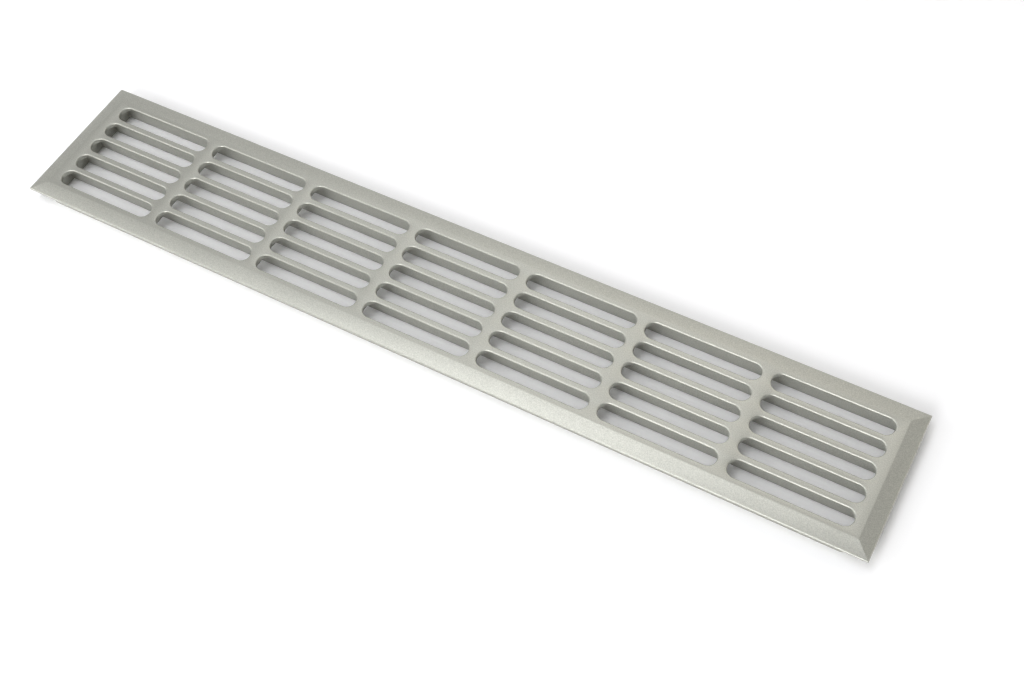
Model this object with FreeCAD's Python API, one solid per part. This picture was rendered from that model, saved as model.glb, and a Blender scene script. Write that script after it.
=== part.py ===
import math
import os

import FreeCAD
import Part

# Ventilation grille for a furniture plinth or worktop, moulded in one piece.
# Millimetres. The origin is on the surface that the grille lies on, under its middle.
# +X runs along the length, +Y across it to the far long side, +Z up through the face.

# Face plate. Its border slopes down to a thin rim on all four sides.
PANEL_LENGTH = 480.0
PANEL_WIDTH = 80.0
BEVEL_WIDTH = 7.6
BEVEL_DROP = 1.5
RIM_THICKNESS = 1.0
RIM_EDGE_CHAMFER = 0.3

# Slots with round ends, in as many rows and columns as fit. A bridge is the solid between
# the ends of two slots in a row, and a slat is the solid between two rows. The margin is
# the least flat face left between the outer rows and the border.
SLOT_LENGTH = 60.4
SLOT_WIDTH = 9.2
BRIDGE_WIDTH = 5.4
SLAT_WIDTH = 3.3
SLOT_EDGE_CHAMFER = 0.4
FACE_MARGIN = 2.5

# Wall that goes into the cut-out. The face plate overhangs it to seat on the panel. No
# slot ends nearer to the inside of the wall than the last size here.
END_OVERHANG = 9.0
SIDE_OVERHANG = 2.5
WALL_DEPTH = 7.5
WALL_THICKNESS = 1.6
WALL_CORNER_RADIUS = 5.0
SLOT_TO_WALL = 1.5

# Ribs on the back, all thinner than the slats and bridges that they carry. The outer ones
# stand back from the edge of the first and last row of slots.
RIB_THICKNESS = 1.6
OUTER_RIB_SETBACK = 0.3
CROSS_RIB_DEPTH = 3.8

# Every wall and rib is thinner at its free edge by this angle a side, to leave the mould.
DRAFT_DEGREES = 1.0

# How far a cutter passes each face that it cuts, and how close two points are the same.
CUTTER_MARGIN = 1.0
SAME_POINT = 1e-6

# Worked out from the sizes above.
PANEL_THICKNESS = RIM_THICKNESS + BEVEL_DROP
SEAT_Z = WALL_DEPTH
FACE_Z = SEAT_Z + PANEL_THICKNESS
ROOT_Z = SEAT_Z + RIM_THICKNESS / 2
DRAFT_SLOPE = math.tan(math.radians(DRAFT_DEGREES))
UP = FreeCAD.Vector(0, 0, 1)
RIGHT_ANGLE = 90.0

BODY_LENGTH = PANEL_LENGTH - 2 * END_OVERHANG
BODY_WIDTH = PANEL_WIDTH - 2 * SIDE_OVERHANG

COLUMN_PITCH = SLOT_LENGTH + BRIDGE_WIDTH
ROW_PITCH = SLOT_WIDTH + SLAT_WIDTH
ROOM_FOR_COLUMNS = BODY_LENGTH - 2 * (WALL_THICKNESS + SLOT_TO_WALL)
ROOM_FOR_ROWS = PANEL_WIDTH - 2 * (BEVEL_WIDTH + FACE_MARGIN)
COLUMNS = int((ROOM_FOR_COLUMNS + BRIDGE_WIDTH) / COLUMN_PITCH)
ROWS = int((ROOM_FOR_ROWS + SLAT_WIDTH) / ROW_PITCH)


def centred(count, pitch):
    """Places of count things, pitch apart, centred on zero."""
    return [(index - (count - 1) / 2) * pitch for index in range(count)]


def between(places):
    """The middle of each gap between neighbouring places."""
    return [(low + high) / 2 for low, high in zip(places, places[1:])]


def quarter_arc(centre, radius, quarter):
    """Quarter of a level circle, the first one from +X round to +Y."""
    circle = Part.Circle(centre, UP, radius)
    turn = math.radians(RIGHT_ANGLE)
    return Part.Arc(circle, quarter * turn, (quarter + 1) * turn)


def rounded_outline(x, y, z, length, width, radius):
    """Rectangle with round corners, or round ends, centred on x, y at height z."""
    reach_x = length / 2 - radius
    reach_y = width / 2 - radius
    arcs = []
    for quarter, (side_x, side_y) in enumerate([(1, 1), (-1, 1), (-1, -1), (1, -1)]):
        centre = FreeCAD.Vector(x + side_x * reach_x, y + side_y * reach_y, z)
        arcs.append(quarter_arc(centre, radius, quarter))
    edges = []
    for arc, following in zip(arcs, arcs[1:] + arcs[:1]):
        edges.append(arc.toShape())
        if not arc.EndPoint.isEqual(following.StartPoint, SAME_POINT):
            edges.append(Part.makeLine(arc.EndPoint, following.StartPoint))
    return Part.Wire(edges)


def box_outline(z, length, width):
    """Plain rectangle centred on the origin at height z."""
    x = length / 2
    y = width / 2
    corners = [(-x, -y), (x, -y), (x, y), (-x, y), (-x, -y)]
    return Part.makePolygon([FreeCAD.Vector(px, py, z) for px, py in corners])


def ruled(*outlines):
    """Solid through outlines stacked in z, with straight flanks."""
    return Part.makeLoft(list(outlines), True, True)


def blank_plate():
    """Plate with a thin rim and a border that slopes up to the flat face."""
    def outline(z, inset):
        return box_outline(z, PANEL_LENGTH - 2 * inset, PANEL_WIDTH - 2 * inset)

    rim_z = SEAT_Z + RIM_THICKNESS
    rise = RIM_EDGE_CHAMFER * BEVEL_DROP / BEVEL_WIDTH
    return ruled(
        outline(SEAT_Z, 0),
        outline(rim_z - RIM_EDGE_CHAMFER, 0),
        outline(rim_z + rise, RIM_EDGE_CHAMFER),
        outline(FACE_Z, BEVEL_WIDTH),
    )


def lies_level(shape, z):
    """True if all of the shape is at height z."""
    box = shape.BoundBox
    return abs(box.ZMin - z) < SAME_POINT and abs(box.ZMax - z) < SAME_POINT


def slot_cutter(x, y):
    """What a slot takes out of the plate."""
    start = SEAT_Z - CUTTER_MARGIN
    outline = rounded_outline(x, y, start, SLOT_LENGTH, SLOT_WIDTH, SLOT_WIDTH / 2)
    return Part.Face(outline).extrude(UP * (FACE_Z + CUTTER_MARGIN - start))


def face_plate(column_places, row_places):
    """The plate with its slots, chamfered where they break the face."""
    cutters = [slot_cutter(x, y) for x in column_places for y in row_places]
    plate = blank_plate().cut(cutters)
    face = next(face for face in plate.Faces if lies_level(face, FACE_Z))
    openings = [wire for wire in face.Wires if not wire.isSame(face.OuterWire)]
    return plate.makeChamfer(SLOT_EDGE_CHAMFER, [edge for wire in openings for edge in wire.Edges])


def rib(depth, span):
    """Rib under the plate, centred on the origin and running along X."""
    bottom_z = SEAT_Z - depth
    tip = RIB_THICKNESS / 2
    root = tip + (ROOT_Z - bottom_z) * DRAFT_SLOPE
    section = [(-tip, bottom_z), (tip, bottom_z), (root, ROOT_Z), (-root, ROOT_Z), (-tip, bottom_z)]
    wire = Part.makePolygon([FreeCAD.Vector(-span / 2, y, z) for y, z in section])
    return Part.Face(wire).extrude(FreeCAD.Vector(span, 0, 0))


def long_ribs(row_places):
    """A rib under each slat, and one along the outside of the first and last row."""
    root_half = RIB_THICKNESS / 2 + WALL_DEPTH * DRAFT_SLOPE
    outer = max(row_places) + SLOT_WIDTH / 2 + OUTER_RIB_SETBACK + root_half
    span = BODY_LENGTH - WALL_THICKNESS
    ribs = []
    for y in between(row_places) + [-outer, outer]:
        piece = rib(WALL_DEPTH, span)
        piece.translate(FreeCAD.Vector(0, y, 0))
        ribs.append(piece)
    return ribs


def cross_ribs(column_places):
    """A shallow rib under each line of bridges, from side wall to side wall."""
    span = BODY_WIDTH - WALL_THICKNESS
    ribs = []
    for x in between(column_places):
        piece = rib(CROSS_RIB_DEPTH, span)
        piece.rotate(FreeCAD.Vector(), UP, RIGHT_ANGLE)
        piece.translate(FreeCAD.Vector(x, 0, 0))
        ribs.append(piece)
    return ribs


def cut_out_wall():
    """Wall that enters the cut-out, with round corners and draft on both faces."""
    def outline(z, inset):
        length = BODY_LENGTH - 2 * inset
        width = BODY_WIDTH - 2 * inset
        return rounded_outline(0, 0, z, length, width, WALL_CORNER_RADIUS - inset)

    tip_inset = ROOT_Z * DRAFT_SLOPE
    outside = ruled(outline(0, tip_inset), outline(ROOT_Z, 0))
    inside = ruled(
        outline(0, tip_inset + WALL_THICKNESS),
        outline(ROOT_Z, 2 * tip_inset + WALL_THICKNESS),
    )
    return outside.cut(inside)


def grille():
    """The whole grille: plate, wall and ribs as one."""
    column_places = centred(COLUMNS, COLUMN_PITCH)
    row_places = centred(ROWS, ROW_PITCH)
    back = [cut_out_wall()] + long_ribs(row_places) + cross_ribs(column_places)
    return face_plate(column_places, row_places).fuse(back).removeSplitter()


os.makedirs("parts", exist_ok=True)
shape = grille()
shape.exportStep("parts/grille.step")
box = shape.BoundBox
print("solids", len(shape.Solids), "valid", shape.isValid(), "volume", round(shape.Volume))
print("size", round(box.XLength, 3), round(box.YLength, 3), round(box.ZLength, 3))
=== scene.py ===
import math

import bpy
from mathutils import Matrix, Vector

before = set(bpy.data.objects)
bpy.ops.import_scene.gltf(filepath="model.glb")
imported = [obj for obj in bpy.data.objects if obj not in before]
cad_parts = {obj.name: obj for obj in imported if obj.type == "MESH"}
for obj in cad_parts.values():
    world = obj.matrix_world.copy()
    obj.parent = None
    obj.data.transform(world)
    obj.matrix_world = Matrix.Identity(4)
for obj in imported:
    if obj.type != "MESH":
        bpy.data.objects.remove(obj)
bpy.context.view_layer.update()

# Metres and watts throughout, but for the lens.
MM = 0.001

# Soft edges: how far an edge is rounded, in how many steps, from which angle on, and how
# close two corners of the mesh are the same.
EDGE_ROUND = 0.16 * MM
EDGE_SEGMENTS = 3
EDGE_LEAST_ANGLE = math.radians(9.5)
SAME_CORNER = 0.002 * MM

# Silver paint. A noise is given by its waves per metre and the finer octaves on top, and
# nearly all of it lies in the range given.
PAINT = (0.474, 0.476, 0.432, 1.0)
METALLIC = 0.8
FLAKES = (2300.0, 1.0)
GRAIN = (900.0, 2.0)
CLOUDS = (22.0, 3.0)
NOISE_RANGE = (0.3, 0.7)
FLAKE_TONE = (0.84, 1.16)
CLOUD_TONE = (0.98, 1.02)
ROUGHNESS = (0.38, 0.48)
BUMP_HEIGHT = 0.05 * MM
BUMP_STRENGTH = 0.12

# Table top: its colour for scattered light, and its colour to the camera and in reflections.
# These two also see it turn plain white past the reach of the shadow, between two radii.
TABLE_SIZE = 60.0
TABLE = (0.9, 0.9, 0.91, 1.0)
TABLE_SEEN = (1.06, 1.06, 1.075, 1.0)
TURNS_WHITE = (0.5, 0.9)

# Light of the room. To the camera and in reflections it is white low down, and falls to its
# own level between two heights, each the sine of an angle above the horizon.
ROOM_LIGHT = 0.3
WHITE_FALLS = (0.2, 0.45)

# Lamps, all of one size and one distance from the origin. Each has a name, its tilt from
# straight above the origin and its turn round from the front, where 90 is the right, both in
# degrees, and its power and colour.
LAMP_SIZE = 0.8
LAMP_DISTANCE = 1.6
WHITE = (1.0, 1.0, 1.0)
COOL = (0.99, 1.0, 1.02)
WARM = (1.05, 1.0, 0.92)
WARMER = (1.08, 1.03, 0.88)
LAMPS = [
    ("key", 12, 300, 7.1, COOL),
    ("left", 60, 300, 7.0, WHITE),
    ("front", 60, 0, 13.6, WHITE),
    ("back", 42, 180, 2.45, WARM),
    ("back_left", 42, 215, 2.0, WHITE),
    ("right", 60, 120, 1.8, WARMER),
]

# Camera: its turn is in degrees, the lens and its sensor in millimetres, and the shift in
# widths of the picture.
CAMERA_PLACE = (0.24951, -0.26655, 0.52023)
CAMERA_TURN = (31.7945, 3.7608, 28.3482)
LENS_LENGTH = 43.876
SENSOR_WIDTH = 36.0
SHIFT_X = -0.046875
NEAREST_SEEN = 0.01


def node_tree(name):
    """New material and its emptied node tree."""
    material = bpy.data.materials.new(name)
    material.use_nodes = True
    material.node_tree.nodes.clear()
    return material, material.node_tree


def add(tree, kind, inputs=(), **settings):
    """New node. inputs are pairs of an input's name or number and its value or source."""
    node = tree.nodes.new(kind)
    for key, value in settings.items():
        setattr(node, key, value)
    for key, value in inputs:
        if isinstance(value, bpy.types.NodeSocket):
            tree.links.new(value, node.inputs[key])
        else:
            node.inputs[key].default_value = value
    return node


def noise(tree, coordinates, kind):
    """Noise given by its waves per metre and its finer octaves."""
    scale, detail = kind
    node = add(tree, "ShaderNodeTexNoise", [
        ("Vector", coordinates), ("Scale", scale), ("Detail", detail)])
    return node.outputs["Fac"]


def spread(tree, source, within, onto):
    """source, spread from one range onto another and held at the ends."""
    node = add(tree, "ShaderNodeMapRange", [
        ("Value", source), ("From Min", within[0]), ("From Max", within[1]),
        ("To Min", onto[0]), ("To Max", onto[1])])
    return node.outputs["Result"]


def seen(tree):
    """1 for rays by which the camera sees a thing, straight or reflected, and 0 for others."""
    path = add(tree, "ShaderNodeLightPath")
    either = path.outputs["Is Camera Ray"]
    for ray in ("Is Glossy Ray", "Is Transmission Ray"):
        either = add(tree, "ShaderNodeMath", [
            (0, either), (1, path.outputs[ray])], operation="MAXIMUM").outputs[0]
    return either


def silver_paint():
    """Satin silver paint: a warm grey with fine flakes, faint clouding and a soft sheen."""
    material, tree = node_tree("satin_silver")
    place = add(tree, "ShaderNodeTexCoord").outputs["Object"]
    flakes = noise(tree, place, FLAKES)
    grain = noise(tree, place, GRAIN)
    clouds = noise(tree, place, CLOUDS)

    tone = add(tree, "ShaderNodeMath", [
        (0, spread(tree, flakes, NOISE_RANGE, FLAKE_TONE)),
        (1, spread(tree, clouds, NOISE_RANGE, CLOUD_TONE))], operation="MULTIPLY").outputs[0]
    colour = add(tree, "ShaderNodeMix", [
        ("Factor", 1.0), ("A", PAINT), ("B", tone)],
        data_type="RGBA", blend_type="MULTIPLY").outputs["Result"]
    roughness = spread(tree, grain, NOISE_RANGE, ROUGHNESS)
    bump = add(tree, "ShaderNodeBump", [
        ("Strength", BUMP_STRENGTH), ("Distance", BUMP_HEIGHT), ("Height", grain)])
    surface = add(tree, "ShaderNodeBsdfPrincipled", [
        ("Base Color", colour), ("Roughness", roughness), ("Metallic", METALLIC),
        ("Normal", bump.outputs["Normal"])])
    add(tree, "ShaderNodeOutputMaterial", [("Surface", surface.outputs["BSDF"])])
    return material


def dress(node):
    """Paint the grille's own solid, round its edges and keep its flat faces flat."""
    node.data.materials.clear()
    node.data.materials.append(silver_paint())
    for face in node.data.polygons:
        face.use_smooth = True
    joined = node.modifiers.new("joined_faces", "WELD")
    joined.merge_threshold = SAME_CORNER
    edge = node.modifiers.new("soft_edges", "BEVEL")
    edge.width = EDGE_ROUND
    edge.segments = EDGE_SEGMENTS
    edge.limit_method = "ANGLE"
    edge.angle_limit = EDGE_LEAST_ANGLE
    edge.use_clamp_overlap = False
    edge.harden_normals = True
    edge.loop_slide = False


def floor():
    """Table top that looks white to the camera and in reflections, and keeps the shadow."""
    bpy.ops.mesh.primitive_plane_add(size=TABLE_SIZE, location=(0, 0, 0))
    plane = bpy.context.object
    plane.name = "floor"
    material, tree = node_tree("table_top")
    place = add(tree, "ShaderNodeTexCoord").outputs["Object"]
    radius = add(tree, "ShaderNodeVectorMath", [(0, place)], operation="LENGTH")
    whiteness = spread(tree, radius.outputs["Value"], TURNS_WHITE, (0.0, 1.0))
    pale = add(tree, "ShaderNodeBsdfDiffuse", [("Color", TABLE)])
    shaded = add(tree, "ShaderNodeBsdfDiffuse", [("Color", TABLE_SEEN)])
    white = add(tree, "ShaderNodeEmission", [("Strength", 1.0)])
    look = add(tree, "ShaderNodeMixShader", [
        (0, whiteness), (1, shaded.outputs[0]), (2, white.outputs[0])])
    surface = add(tree, "ShaderNodeMixShader", [
        (0, seen(tree)), (1, pale.outputs[0]), (2, look.outputs[0])])
    add(tree, "ShaderNodeOutputMaterial", [("Surface", surface.outputs[0])])
    plane.data.materials.append(material)


def softbox(name, tilt, turn, power, colour):
    """Square lamp that faces the origin."""
    lamp = bpy.data.lights.new(name, "AREA")
    lamp.shape = "SQUARE"
    lamp.size = LAMP_SIZE
    lamp.energy = power
    lamp.color = colour
    holder = bpy.data.objects.new(name, lamp)
    tilt, turn = math.radians(tilt), math.radians(turn)
    reach = math.sin(tilt)
    away = Vector((reach * math.sin(turn), -reach * math.cos(turn), math.cos(tilt)))
    holder.location = away * LAMP_DISTANCE
    holder.rotation_euler = away.to_track_quat("Z", "Y").to_euler()
    holder.visible_camera = False
    bpy.context.scene.collection.objects.link(holder)


def surroundings():
    """Even light from the room, and a white backdrop for the camera and reflections."""
    world = bpy.data.worlds.new("studio")
    bpy.context.scene.world = world
    world.use_nodes = True
    tree = world.node_tree
    tree.nodes.clear()
    place = add(tree, "ShaderNodeTexCoord").outputs["Generated"]
    height = add(tree, "ShaderNodeSeparateXYZ", [(0, place)]).outputs["Z"]
    backdrop = spread(tree, height, WHITE_FALLS, (1.0 - ROOM_LIGHT, 0.0))
    level = add(tree, "ShaderNodeMath", [
        (0, backdrop), (1, seen(tree)), (2, ROOM_LIGHT)], operation="MULTIPLY_ADD")
    light = add(tree, "ShaderNodeBackground", [
        ("Color", (*WHITE, 1.0)), ("Strength", level.outputs[0])])
    add(tree, "ShaderNodeOutputWorld", [("Surface", light.outputs[0])])


def camera():
    """The photograph's viewpoint and framing."""
    lens = bpy.data.cameras.new("camera")
    lens.sensor_width = SENSOR_WIDTH
    lens.lens = LENS_LENGTH
    lens.shift_x = SHIFT_X
    lens.clip_start = NEAREST_SEEN
    holder = bpy.data.objects.new("camera", lens)
    holder.location = CAMERA_PLACE
    holder.rotation_euler = [math.radians(angle) for angle in CAMERA_TURN]
    bpy.context.scene.collection.objects.link(holder)
    bpy.context.scene.camera = holder


dress(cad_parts["grille"])
floor()
surroundings()
for lamp in LAMPS:
    softbox(*lamp)
camera()
bpy.context.scene.view_settings.view_transform = "Standard"
